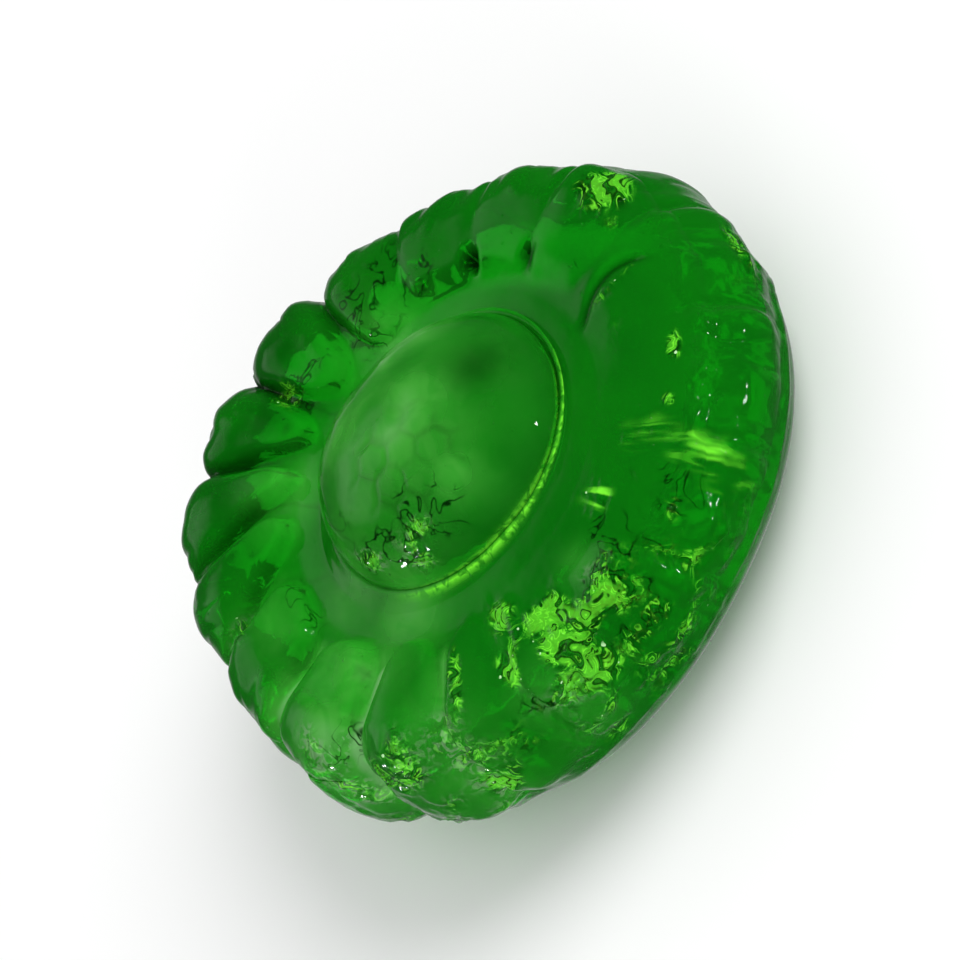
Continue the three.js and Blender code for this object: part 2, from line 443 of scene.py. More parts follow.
# The same, where only dark fine lines are drawn in the colour
DARK_LINE_PATCHES = (
    (59, 1.4, 1.1, 1.2, 1.0),
    (48, 2.0, 1.0, 1.2, 1.0),
    (38, 1.4, 0.8, 0.8, 0.8),
    (82, 1.4, 1.2, 0.8, 0.8),
    (156, 0.4, 1.0, 0.35, 0.9),
    (190, -3.9, 2.2, 0.9, 0.8),
    (228, -4.4, 1.4, 1.2, 0.8),
    (262, 4.4, 2.0, 1.6, 0.9),
    (275, 2.6, 1.4, 0.9, 0.8),
    (284, 4.4, 0.9, 1.6, 0.7),
    (196, 3.9, 1.6, 1.0, 0.6),
    (232, 5.0, 2.0, 1.6, 0.6),
)
# The same, where the sugar was drawn out in fibres along the section
FIBRES = (
    (296, 2.6, 0.55, 1.1, 0.9),
    (293, 4.6, 0.65, 1.4, 0.8),
    (290, 6.8, 0.65, 1.3, 0.8),
    (279, 1.4, 0.55, 0.8, 0.9),
    (286, 6.4, 0.3, 1.0, 0.6),
)
PATCH_SPREAD_ROUND = 1.25
PATCH_SPREAD_ALONG = 1.2
PATCH_LIMIT = 2.5
PATCH_RAG = 1.1
PATCH_EVEN = 0.85
PATCH_EDGE = 0.12
PLAIN_BACK_HEIGHT = 1.2

RESTLESS_SIDE = math.radians(254)
RESTLESS_REACH = math.radians(44)
RESTLESS_START = (0.8, 3.0)
RESTLESS_STRENGTH = 0.5
BUBBLY_SIDE = math.radians(196)
BUBBLY_REACH = math.radians(27)
BUBBLY_START = (2.6, 3.8)
BUBBLY_STRENGTH = 0.42
RESTLESS_HEIGHT = (PLAIN_BACK_HEIGHT, 3.0)
# How much of this unevenness also takes the painted glints and shade of the crinkled patches
RESTLESS_COLOUR = 0.8


def restlessness(spot):
    """The faint unevenness of the whole side that the crinkled patches lie on, and of the bubbly wall."""
    restless = bell(spot.turn_from(RESTLESS_SIDE), RESTLESS_REACH) * smoothstep(spot.travel, *RESTLESS_START)
    bubbly = bell(spot.turn_from(BUBBLY_SIDE), BUBBLY_REACH) * smoothstep(spot.travel, *BUBBLY_START)
    stronger = max(RESTLESS_STRENGTH * restless, BUBBLY_STRENGTH * bubbly)
    return stronger * smoothstep(spot.height, *RESTLESS_HEIGHT)


def patch_share(spot, patches, least=0.0):
    """How much of the surface is taken by patches like these, with ragged edges."""
    if spot.height < PLAIN_BACK_HEIGHT:
        return 0.0
    share = least
    for degrees, travel, round_reach, along_reach, strength in patches:
        way = spot.turn_from(math.radians(degrees)) * spot.radius
        if abs(way) < PATCH_LIMIT * round_reach:
            round_share = bell(way, PATCH_SPREAD_ROUND * round_reach)
            along_share = bell(spot.travel - travel, PATCH_SPREAD_ALONG * along_reach)
            share = max(share, strength * round_share * along_share)
    ragged = PATCH_EVEN + swell(spot.place, PATCH_RAG, (5, 5, 5))
    return min(max(share * ragged - PATCH_EDGE, 0.0), 1.0)


def foil_fold(place, size):
    """Flat facets that meet in sharp ridges and creases, like those of crumpled foil."""
    return abs(swell(place, size)) - abs(swell(place, size, (31, 17, 5)))


# (depth, size) of the larger and the finer folds
CRINKLE_FOLDS = ((0.42, 1.0), (0.26, 0.5))
FIBRE_FOLDS = ((0.3, 0.6), (0.12, 0.3))
FIBRE_LENGTH = 6
WARP_DEPTH = 0.5
WARP_SIZE = 1.4


def crinkle(spot, crinkled, fibrous):
    """The relief of the crinkled and the fibrous patches."""
    relief = 0.0
    if crinkled > 0:
        warped = spot.place + WARP_DEPTH * noise.noise_vector(spot.place / WARP_SIZE)
        relief += crinkled * sum(depth * foil_fold(warped, size) for depth, size in CRINKLE_FOLDS)
    if fibrous > 0:
        drawn_out = Vector((spot.angle * spot.radius, spot.travel / FIBRE_LENGTH, 3.0))
        relief += fibrous * sum(depth * foil_fold(drawn_out, size) for depth, size in FIBRE_FOLDS)
    return relief


# ---------------------------------------------------------------- worn places

# A small level face on the sunk side: its angle and radius, its height, and its reach
LEVEL_FACE_SIDE = math.radians(261)
LEVEL_FACE_RADIUS = 8.7
LEVEL_FACE_PLACE = LEVEL_FACE_RADIUS * Vector((math.cos(LEVEL_FACE_SIDE), math.sin(LEVEL_FACE_SIDE)))
LEVEL_FACE_HEIGHT = 7.25
LEVEL_FACE_REACH = 1.15
LEVEL_FACE_LIFT = 0.2
LEVEL_FACE_ROUNDING = 0.12
LEVEL_FACE_EDGES = (0.2, 1.3, 2.7, 3.9, 5.2)
LEVEL_FACE_LOWEST = CHANNEL_HEIGHT - 2


def level_face(x, y, height):
    """The height, drawn level inside an uneven five-sided outline. Low places are lifted only a little, so
    that no step stands out where the side falls away."""
    away = Vector((x, y)) - LEVEL_FACE_PLACE
    if height < LEVEL_FACE_LOWEST or away.length > 2 * LEVEL_FACE_REACH:
        return height
    reach = max(away.dot(Vector((math.cos(turn), math.sin(turn)))) for turn in LEVEL_FACE_EDGES)
    inner, outer = LEVEL_FACE_REACH - LEVEL_FACE_ROUNDING, LEVEL_FACE_REACH + LEVEL_FACE_ROUNDING
    return mix(min(LEVEL_FACE_HEIGHT, height + LEVEL_FACE_LIFT), height, smoothstep(reach, inner, outer))


HONEYCOMB_CELL = 1.3
HONEYCOMB_GROOVE = 0.13
HONEYCOMB_DEPTH = 0.07
HONEYCOMB_FADE = (1.725, 2.875)
HONEYCOMB_MIDDLE = Vector((-1.1, -1.6))
HONEYCOMB_WEAR = 2.2
HONEYCOMB_WORN = (-0.5, 0.1)


def honeycomb(spot):
    """A worn honeycomb pressed into the button: soft grooves round six-sided cells."""
    if spot.travel >= 0 or spot.height < LIP_HEIGHT:
        return 0.0
    from_middle = (Vector((spot.place.x, spot.place.y)) - HONEYCOMB_MIDDLE).length
    pitch = Vector((HONEYCOMB_CELL, HONEYCOMB_CELL * math.sqrt(3)))
    nearest = HONEYCOMB_CELL
    for offset in (0.0, 0.5):
        x = (spot.place.x + offset * pitch.x) % pitch.x - pitch.x / 2
        y = (spot.place.y + offset * pitch.y) % pitch.y - pitch.y / 2
        nearest = min(nearest, max(abs(x), abs(x) / 2 + abs(y) * math.sqrt(3) / 2))
    edge = HONEYCOMB_CELL / 2 - nearest
    worn = smoothstep(swell(spot.place, HONEYCOMB_WEAR, (2, 8, 4)), *HONEYCOMB_WORN)
    fade = 1 - smoothstep(from_middle, *HONEYCOMB_FADE)
    return -HONEYCOMB_DEPTH * worn * fade * bell(edge, HONEYCOMB_GROOVE)


BUTTON_DENT_SIDE = math.radians(331)
BUTTON_DENT_RADIUS = 3.5
BUTTON_DENT_PLACE = BUTTON_DENT_RADIUS * Vector((math.cos(BUTTON_DENT_SIDE), math.sin(BUTTON_DENT_SIDE)))
BUTTON_DENT_DEPTH = 0.2
BUTTON_DENT_REACH = 0.95


def button_dent(spot):
    """One broad shallow dent in the button's smooth side."""
    if spot.travel >= 0:
        return 0.0
    away = Vector((spot.place.x, spot.place.y)) - BUTTON_DENT_PLACE
    return -BUTTON_DENT_DEPTH * bell(away.length, BUTTON_DENT_REACH)


WAVE_DEPTH = 0.13
WAVE_SIZE = 4.2
SMALL_WAVE_DEPTH = 0.035
SMALL_WAVE_SIZE = 1.7
WAVES_START = (0.3, 2.4)


def waviness(spot):
    """The slow swell of sugar that cooled unevenly."""
    large = WAVE_DEPTH * swell(spot.place, WAVE_SIZE, (1, 2, 3))
    small = SMALL_WAVE_DEPTH * swell(spot.place, SMALL_WAVE_SIZE, (4, 2, 7))
    return smoothstep(spot.height, *WAVES_START) * (large + small)


PARTING_HEIGHT = 2.35
PARTING_WANDER = 0.25
PARTING_RISE = 0.06
PARTING_WIDTH = 0.14


def parting_line(spot):
    """Where the two halves of the mould met."""
    if spot.height > BACK_EDGE_HEIGHT + 1 or spot.travel < 0:
        return 0.0
    round_the_side = Vector((math.cos(spot.angle), math.sin(spot.angle), 9)) * 2
    height = PARTING_HEIGHT + PARTING_WANDER * noise.noise(round_the_side)
    return PARTING_RISE * bell(spot.height - height, PARTING_WIDTH)


HOLLOW_DEPTH = 0.1
HOLLOW_SIZE = 3.4
HOLLOW_END = (6.4, BACK_RADIUS)
HOLLOW_TOP = 0.4
HOLLOW_BAND = (-0.1, 0.5)


def hollow_back(spot):
    """The back is flat where it lies on the table, and sinks a little between."""
    if spot.height > HOLLOW_TOP or spot.travel < 0:
        return 0.0
    sunk = smoothstep(swell(spot.place, HOLLOW_SIZE, (6, 1, 0)), *HOLLOW_BAND)
    return -HOLLOW_DEPTH * sunk * (1 - smoothstep(spot.radius, *HOLLOW_END))


def uneven_round(spot):
    """How far the outline is from round: a little oval, with three soft corners and one flatter side."""
    flatter = FLAT_DEPTH * bell(spot.turn_from(FLAT_SIDE), FLAT_REACH)
    corners = CORNER_SWING * math.cos(3 * (spot.angle - CORNER_ANGLE)) - flatter
    outer_share = smoothstep(spot.radius, LIP_RADIUS, RING_OUTER[0])
    oval = OVAL_SWING * math.cos(2 * (spot.angle - OVAL_ANGLE))
    return 1 + (oval + corners * outer_share) / BACK_EDGE_RADIUS


def surface_point(spot, crinkled, fibrous):
    """The finished surface, in millimetres, before it is fitted to the CAD model's box."""
    sunk, rounded = sunk_side(spot)
    rise = (
        petal_rise(spot) + valley_pit(spot) + wall_grooves(spot) + crinkle(spot, crinkled, fibrous)
        - LAST_FOLD_DEPTH * last_fold(spot) + honeycomb(spot) + button_dent(spot)
        + waviness(spot) + parting_line(spot) + hollow_back(spot) - rounded
    )
    radius = (spot.radius + spot.normal[0] * rise) * uneven_round(spot)
    height = spot.height + spot.normal[1] * rise - sunk
    shift = BUTTON_SHIFT * smoothstep(spot.height, CHANNEL_HEIGHT, LIP_HEIGHT) * (spot.travel < 0)
    x = radius * math.cos(spot.angle) + shift.x
    y = radius * math.sin(spot.angle) + shift.y
    face_share = smoothstep(height, BACK_EDGE_HEIGHT, CANDY_HEIGHT)
    uphill = x * math.cos(SLOPE_SIDE) + y * math.sin(SLOPE_SIDE)
    slope = FACE_SLOPE * face_share * uphill / BACK_EDGE_RADIUS
    return Vector((x, y, level_face(x, y, height) + slope))


# ---------------------------------------------------------------- what the material reads

# Where the painted glint lines along the lip and the button's foot lie, and on which side they are strongest
LIP_CREST_AWAY = 0.35
LIP_TRAVEL = CHANNEL_INNER_RADIUS - PETAL_INNER_RADIUS - LIP_CREST_AWAY
LIP_LIT_SIDE = math.radians(262)
LIP_LIT_BAND = (0.2, 0.7)
LIP_CREST_WIDTH = 0.08
LIP_CREST_BROADER = 0.05
LIP_FOOT_AWAY = 0.5
LIP_FOOT_WIDTH = 0.09
LIP_FOOT_BROADER = 0.12
LIP_FOOT_SHARE = 0.9
LIP_BROAD_SIDE = math.radians(248)
LIP_BROAD_REACH = math.radians(32)


def painted_lip_glint(spot):
    """A painted glint along the lip's crest, and another along the edge of the button's foot beside it, as if
    light came through both, most of all on one side."""
    facing = smoothstep(math.cos(spot.angle - LIP_LIT_SIDE), *LIP_LIT_BAND)
    broad = bell(spot.turn_from(LIP_BROAD_SIDE), LIP_BROAD_REACH)
    from_lip = spot.travel - LIP_TRAVEL
    crest = bell(from_lip, LIP_CREST_WIDTH + LIP_CREST_BROADER * broad)
    foot = LIP_FOOT_SHARE * bell(from_lip + LIP_FOOT_AWAY, LIP_FOOT_WIDTH + LIP_FOOT_BROADER * broad)
    return facing * max(crest, foot)


# Where tiny bubbles cloud the sugar, partly a painted haze of reflected light: (x, y, reach, strength)
CLOUDS = (
    (0.2, 0.1, 3.4, 1.0),
    (-2.6, -0.6, 2.8, 0.6),
    (3.0, 2.2, 2.0, 1.15),
    (-1.1, 3.4, 1.9, 1.1),
    (-0.6, -3.4, 1.3, 0.8),
    (3.4, 5.0, 2.2, 0.8),
    (-5.2, -1.6, 1.8, 0.9),
    (-5.2, 1.2, 1.5, 0.9),
    (-3.2, 6.0, 1.4, 0.8),
    (-7.4, 3.2, 1.6, 0.5),
    (-8.0, -1.2, 2.4, 0.9),
    (-10.0, -1.4, 1.8, 1.0),
    (-1.4, -8.6, 0.9, 0.6),
    (-9.4, -5.4, 2.4, 0.5),
    (-6.2, -9.0, 1.6, 0.4),
)
CLOUD_RAG = 1.8
CLOUDY_SIDE = math.radians(188)
CLOUDY_REACH = math.radians(36)
CLOUDY_RIM = 1.5
CLOUDY_RIM_NARROWNESS = 3.5
CLOUDY_RIM_START = (0.3, 1.2)
CLOUDY_HEIGHT = (2, 4.5)


def cloud_and_painted_haze(spot):
    """How clouded the sugar is, partly a painted haze of reflected light: in the clouds, and along the
    valleys of one side.
    """
    here = Vector((spot.place.x, spot.place.y))
    cloud = max(strength * bell((here - Vector((x, y))).length, reach) for x, y, reach, strength in CLOUDS)
    in_valley = spot.across ** CLOUDY_RIM_NARROWNESS * smoothstep(spot.travel, *CLOUDY_RIM_START)
    rim = CLOUDY_RIM * bell(spot.turn_from(CLOUDY_SIDE), CLOUDY_REACH) * in_valley
    uneven = min(max(0.9 + 0.6 * swell(spot.place, CLOUD_RAG), 0.0), 1.0)
    return max(cloud, rim) * uneven * smoothstep(spot.height, *CLOUDY_HEIGHT)


# How the painted shade lies: over the petals of one side and in its valleys, in the pits, along the last
# fold, in the honeycomb's grooves, in the dent, and beside the lip
SHADED_SIDE = math.radians(95)
SHADED_REACH = math.radians(38)
SHADED_SIDE_DARKNESS = 0.28
SHADED_SIDE_START = (0.3, 1.6)
SHADED_SIDE_RAG = 1.3
VALLEY_NARROWNESS = 6
VALLEY_DARK_START = (0.8, 2.0)
DARK_PIT_WIDTH = 0.34
PIT_DARKNESS = 1.7
LAST_FOLD_DARKNESS = 0.7
HONEYCOMB_DARKNESS = 3.5
HONEYCOMB_DARKEST = 0.25
DENT_DARKNESS = 2.8
BESIDE_LIP = 0.24
BESIDE_LIP_WIDTH = 0.08
BESIDE_LIP_BAND = (0.0, 0.6)
BESIDE_LIP_DARKNESS = 0.75


def painted_shade_share(spot):
    """Painted shade: how dark the colour is painted in the pits and the valleys, in the honeycomb's grooves
    and the dent, beside the lip of the button on one side, along the last fold, and over the petals of one
    side."""
    if spot.travel < 0:
        facing = smoothstep(math.cos(spot.angle - LIP_LIT_SIDE), *BESIDE_LIP_BAND)
        beside_lip = facing * bell(spot.travel - LIP_TRAVEL + BESIDE_LIP, BESIDE_LIP_WIDTH)
        in_honeycomb = min(-HONEYCOMB_DARKNESS * honeycomb(spot), HONEYCOMB_DARKEST)
        return max(in_honeycomb, -DENT_DARKNESS * button_dent(spot), BESIDE_LIP_DARKNESS * beside_lip)
    pit = min(PIT_DARKNESS * in_pit(spot, DARK_PIT_WIDTH), 1.0)
    shaded_side = bell(spot.turn_from(SHADED_SIDE), SHADED_REACH)
    valley = shaded_side * spot.across ** VALLEY_NARROWNESS * smoothstep(spot.travel, *VALLEY_DARK_START)
    uneven = min(max(0.9 + swell(spot.place, SHADED_SIDE_RAG), 0.0), 1.3)
    side_shade = SHADED_SIDE_DARKNESS * shaded_side * smoothstep(spot.travel, *SHADED_SIDE_START) * uneven
    return max(pit, valley, LAST_FOLD_DARKNESS * last_fold(spot), side_shade)


# The fibres' own coordinates: how wide and how long one fibre is
STRAND_WIDTH = 0.55
STRAND_LENGTH = 3.2


def strand_place(spot):
    return Vector((spot.angle * BACK_EDGE_RADIUS / STRAND_WIDTH, spot.travel / STRAND_LENGTH, 0.0))


# ---------------------------------------------------------------- candy


def spun_section(rows, columns):
    """The section spun into a round drop. Each vertex keeps the number of its row."""
    mesh = bmesh.new()
    row_layer = mesh.verts.layers.int.new("row")
    line = []
    for number, row in enumerate(rows):
        vertex = mesh.verts.new((row["place"][0], 0.0, row["place"][1]))
        vertex[row_layer] = number
        line.append(vertex)
    edges = [mesh.edges.new(pair) for pair in zip(line, line[1:])]
    bmesh.ops.spin(mesh, geom=line + edges, cent=(0, 0, 0), axis=(0, 0, 1), dvec=(0, 0, 0),
                   angle=TURN, steps=columns, use_merge=True)
    bmesh.ops.remove_doubles(mesh, verts=mesh.verts, dist=1e-4)
    return mesh, row_layer


def fit_to_box(mesh, box):
    """Scales and moves the mesh, in millimetres, to fill a CAD node's box, in metres."""
    low = Vector([min(v.co[axis] for v in mesh.verts) for axis in range(3)])
    high = Vector([max(v.co[axis] for v in mesh.verts) for axis in range(3)])
    wanted_low, wanted_high = box
    scale = Vector([(wanted_high[axis] - wanted_low[axis]) / (high[axis] - low[axis]) for axis in range(3)])
    bmesh.ops.translate(mesh, verts=mesh.verts, vec=-(low + high) / 2)
    bmesh.ops.scale(mesh, verts=mesh.verts, vec=scale)
    bmesh.ops.translate(mesh, verts=mesh.verts, vec=(wanted_low + wanted_high) / 2)


def add_object(name, mesh):
    """Puts a finished mesh into the scene as an object at the origin."""
    data = bpy.data.meshes.new(name)
    mesh.to_mesh(data)
    mesh.free()
    made = bpy.data.objects.new(name, data)
    bpy.context.scene.collection.objects.link(made)
    return made


# What the material reads at each vertex, as a share from 0 to about 1: the patches, where a glint on the lip
# and shade are painted, and the clouds with their painted haze
PATCH_NAMES = ("crinkled", "fibrous", "dark_lined", "lip_glint", "cloud_and_haze", "painted_shade")


def make_candy():
    rows = section_rows()
    mesh, row_layer = spun_section(rows, PETAL_COUNT * COLUMNS_PER_PETAL)
    layers = {name: mesh.verts.layers.float.new(name) for name in PATCH_NAMES}
    strand_layer = mesh.verts.layers.float_vector.new("strand")
    for vertex in mesh.verts:
        even_angle = math.atan2(vertex.co.y, vertex.co.x) % TURN
        spot = Spot(rows[vertex[row_layer]], even_angle)
        restless = restlessness(spot)
        fibrous = patch_share(spot, FIBRES)
        # Also worked out here: where the lip's glint and the shade are painted, and the clouds that carry a
        # painted haze
        shares = {
            "crinkled": patch_share(spot, CRINKLES, RESTLESS_COLOUR * restless),
            "fibrous": fibrous,
            "dark_lined": patch_share(spot, DARK_LINE_PATCHES),
            "lip_glint": painted_lip_glint(spot),
            "cloud_and_haze": cloud_and_painted_haze(spot),
            "painted_shade": painted_shade_share(spot),
        }
        for name, share in shares.items():
            vertex[layers[name]] = share
        vertex[strand_layer] = strand_place(spot)
        vertex.co = surface_point(spot, patch_share(spot, CRINKLES, restless), fibrous)
    fit_to_box(mesh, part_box("candy"))
    bmesh.ops.recalc_face_normals(mesh, faces=mesh.faces)
    for face in mesh.faces:
        face.smooth = True
    mesh.verts.layers.int.remove(row_layer)
    return add_object("candy_surface", mesh)


# ---------------------------------------------------------------- materials


def colour(hex_code):
    """An sRGB hex colour as a linear one."""
    def linear(value):
        return value / 12.92 if value <= 0.04045 else ((value + 0.055) / 1.055) ** 2.4
    return tuple(linear(int(hex_code[place:place + 2], 16) / 255) for place in (1, 3, 5)) + (1.0,)


def node(tree, kind, *sources, **settings):
    """Adds a node. Sources, each a value, a socket or another node, go to its open inputs in their order.
    Settings are its properties or, where it has none of that name, its inputs by name."""
    made = tree.nodes.new("ShaderNode" + kind)
    fed = []
    for name, value in settings.items():
        if hasattr(made, name):
            setattr(made, name, value)
        else:
            fed.append((made.inputs[name.replace("_", " ")], value))
    fed += zip([socket for socket in made.inputs if socket.enabled], sources)
    for socket, value in fed:
        if isinstance(value, bpy.types.Node):
            value = next(output for output in value.outputs if output.enabled)
        if isinstance(value, bpy.types.NodeSocket):
            tree.links.new(value, socket)
        else:
            socket.default_value = value
    return made


def empty_tree(owner):
    """The node tree of a new material or world, cleared."""
    owner.use_nodes = True
    owner.node_tree.nodes.clear()
    return owner.node_tree


SUGAR_GREEN = colour("#16B11D")
SUGAR_LIGHTER = colour("#19BC1D")
# The next five colours paint light and shade: near-white sparkle highlights, shade, a lighter green of clouds
# that is partly a painted haze of reflected light, a pale haze where the clouds are densest, partly painted
# reflection too, and yellow-green glints
SUGAR_PAINTED_SPARKLE = colour("#CBFFBC")
SUGAR_PAINTED_SHADE = colour("#073F0A")
SUGAR_CLOUD_AND_HAZE = colour("#5DD74D")
SUGAR_HAZE = colour("#9ADC91")
SUGAR_PAINTED_GLINT = colour("#7DF638")
SUGAR_GLOSS = colour("#595959")
SUGAR_DEPTH = colour("#50DD61")
SUGAR_DENSITY = 140.0
SUGAR_ROUGHNESS = 0.04
SUGAR_IOR = 1.5

# The real sizes of what lies in the sugar
CURL_SIZE = 1.1 * MM
SMALL_CURL_SIZE = 0.42 * MM
DARK_LINE_SIZE = 1.0 * MM
DRIFT_SIZE = 3.0 * MM
GRAIN_SIZE = 0.24 * MM
RIPPLE_SIZE = 0.8 * MM
FOLD_SIZE = 0.3 * MM
BUMP_DEPTH = 0.05 * MM

# How wide the drawn lines are, in a pattern's levels, and how many folds there are from 0 to 1
LOOP_WIDTH = 0.03
DARK_LINE_WIDTH = 0.035
FOLD_WIDTH = 0.22
CREASE_WIDTH = 0.17
FOLD_COUNT = 4.5
FOLD_START = 0.0
CREASE_START = 0.5

# Where each look sets in: between which two levels of the patch it lies in, and of the pattern that
# draws it. Where two more numbers follow, they are its share at the first level and at the second.
LOOP_PATCH = (0.15, 0.5)
LOOP_BREAKS = (0.4, 0.54)
SMALL_LOOP_BREAKS = (0.47, 0.6)
SMALL_LOOP_SHARE = 0.8
FOLD_PATCH = (0.12, 0.42)
FOLD_BREAKS = (0.42, 0.54, 0.15, 0.9)
CREASE_PATCH = (0.15, 0.5)
CREASE_SHARE = 0.9
CORE_PATCH = (0.35, 0.65)
CORE_LEVELS = (0.38, 0.5)
CORE_SHARE = 0.6
FILLING_PATCH = (0.25, 0.55)
FILLING_LEVELS = (0.5, 0.64, 0.0, 0.65)
FIBRE_PATCH = (0.03, 0.65)
FIBRE_LEVELS = (0.44, 0.64)
LIP_FLECK_LEVELS = (0.36, 0.56, 0.3, 1.0)
STROKE_PATCH = (0.04, 0.5)
STROKE_LEVELS = (0.43, 0.33)
STROKE_SHARE = 0.9
FINE_STROKE_LEVELS = (0.42, 0.34)
FINE_STROKE_SHARE = 0.7
DARK_LINE_PATCH = (0.05, 0.35)
DRIFT_LEVELS = (0.35, 0.65)
CLOUD_CURL_LEVELS = (0.36, 0.6, 0.75, 1.05)
FOAM_PATCH = (0.03, 0.25)
FOAM_CLOUD = (0.1, 0.6)
FOAM_LEVELS = (0.48, 0.6)
FOAM_SHARE = 0.9
DENSE_CLOUD_LEVELS = (0.8, 1.2, 0.0, 0.75)
SPARKLE_PATCH = (0.02, 0.3)
SPARKLE_LEVELS = (0.83, 0.86)
DIMPLE_LEVELS = (0.8, 0.9, 0.0, 1.5)
FOLD_HEIGHT = 4.0
BUMP_STRENGTH = 0.4

# How much light the sugar lets through, and how much of it the clouds and the painted glints and sparkles
# take away
CLEARNESS = 0.76
CLOUDS_TAKE = 0.25
GLOW_TAKES = 0.6

SMOOTH = {"interpolation_type": "SMOOTHSTEP"}


def loops(tree, level, width, strength=1.0):
    """Thin lines where a pattern passes its middle level."""
    above_middle = node(tree, "Math", level, 0.5, operation="SUBTRACT")
    from_middle = node(tree, "Math", above_middle, operation="ABSOLUTE")
    return node(tree, "MapRange", from_middle, 0.0, width, strength, 0.0, **SMOOTH)


def folds_of(tree, level, start, width, strength=1.0):
    """Nested lines like the folds of crumpled foil, one at each step of a pattern's level."""
    steps = node(tree, "Math", level, FOLD_COUNT, start, operation="MULTIPLY_ADD")
    return loops(tree, node(tree, "Math", steps, operation="FRACT"), width, strength)


def only_where(tree, patch, levels, pattern, pattern_levels, strength=1.0):
    """A pattern that sets in between two of its levels, and only where a patch does so too."""
    share = node(tree, "MapRange", patch, *levels, 0.0, strength, **SMOOTH)
    return node(tree, "MapRange", pattern, *pattern_levels, 0.0, share, **SMOOTH)


def painted_crinkle_glints(tree, curls, small_curls, creases, crinkled):
    """Painted yellow-green glints in the crumpled sugar: fine loops, the folds of the foil, and what fills
    them.
    """
    lines = loops(tree, curls, LOOP_WIDTH)
    small_lines = loops(tree, small_curls, LOOP_WIDTH, SMALL_LOOP_SHARE)
    large_loops = node(tree, "MapRange", small_curls, *LOOP_BREAKS, 0.0, lines, **SMOOTH)
    small_loops = node(tree, "MapRange", curls, *SMALL_LOOP_BREAKS, 0.0, small_lines, **SMOOTH)
    both_loops = node(tree, "Math", large_loops, small_loops, operation="MAXIMUM")
    fine_loops = node(tree, "MapRange", crinkled, *LOOP_PATCH, 0.0, both_loops, **SMOOTH)
    fold_lines = folds_of(tree, curls, FOLD_START, FOLD_WIDTH)
    broken = node(tree, "MapRange", small_curls, *FOLD_BREAKS, **SMOOTH)
    broken_folds = node(tree, "Math", fold_lines, broken, operation="MULTIPLY")
    folded = node(tree, "MapRange", crinkled, *FOLD_PATCH, 0.0, broken_folds, **SMOOTH)
    core = only_where(tree, crinkled, CORE_PATCH, curls, CORE_LEVELS, CORE_SHARE)
    lit = node(tree, "MapRange", curls, *FILLING_LEVELS, **SMOOTH)
    lit_or_core = node(tree, "Math", lit, core, operation="MAXIMUM")
    filling = node(tree, "MapRange", crinkled, *FILLING_PATCH, 0.0, lit_or_core, **SMOOTH)
    beside_creases = node(tree, "Math", 1.0, creases, operation="SUBTRACT")
    filled = node(tree, "Math", filling, beside_creases, operation="MULTIPLY")
    loops_or_folds = node(tree, "Math", fine_loops, folded, operation="MAXIMUM")
    return node(tree, "Math", loops_or_folds, filled, operation="MAXIMUM")


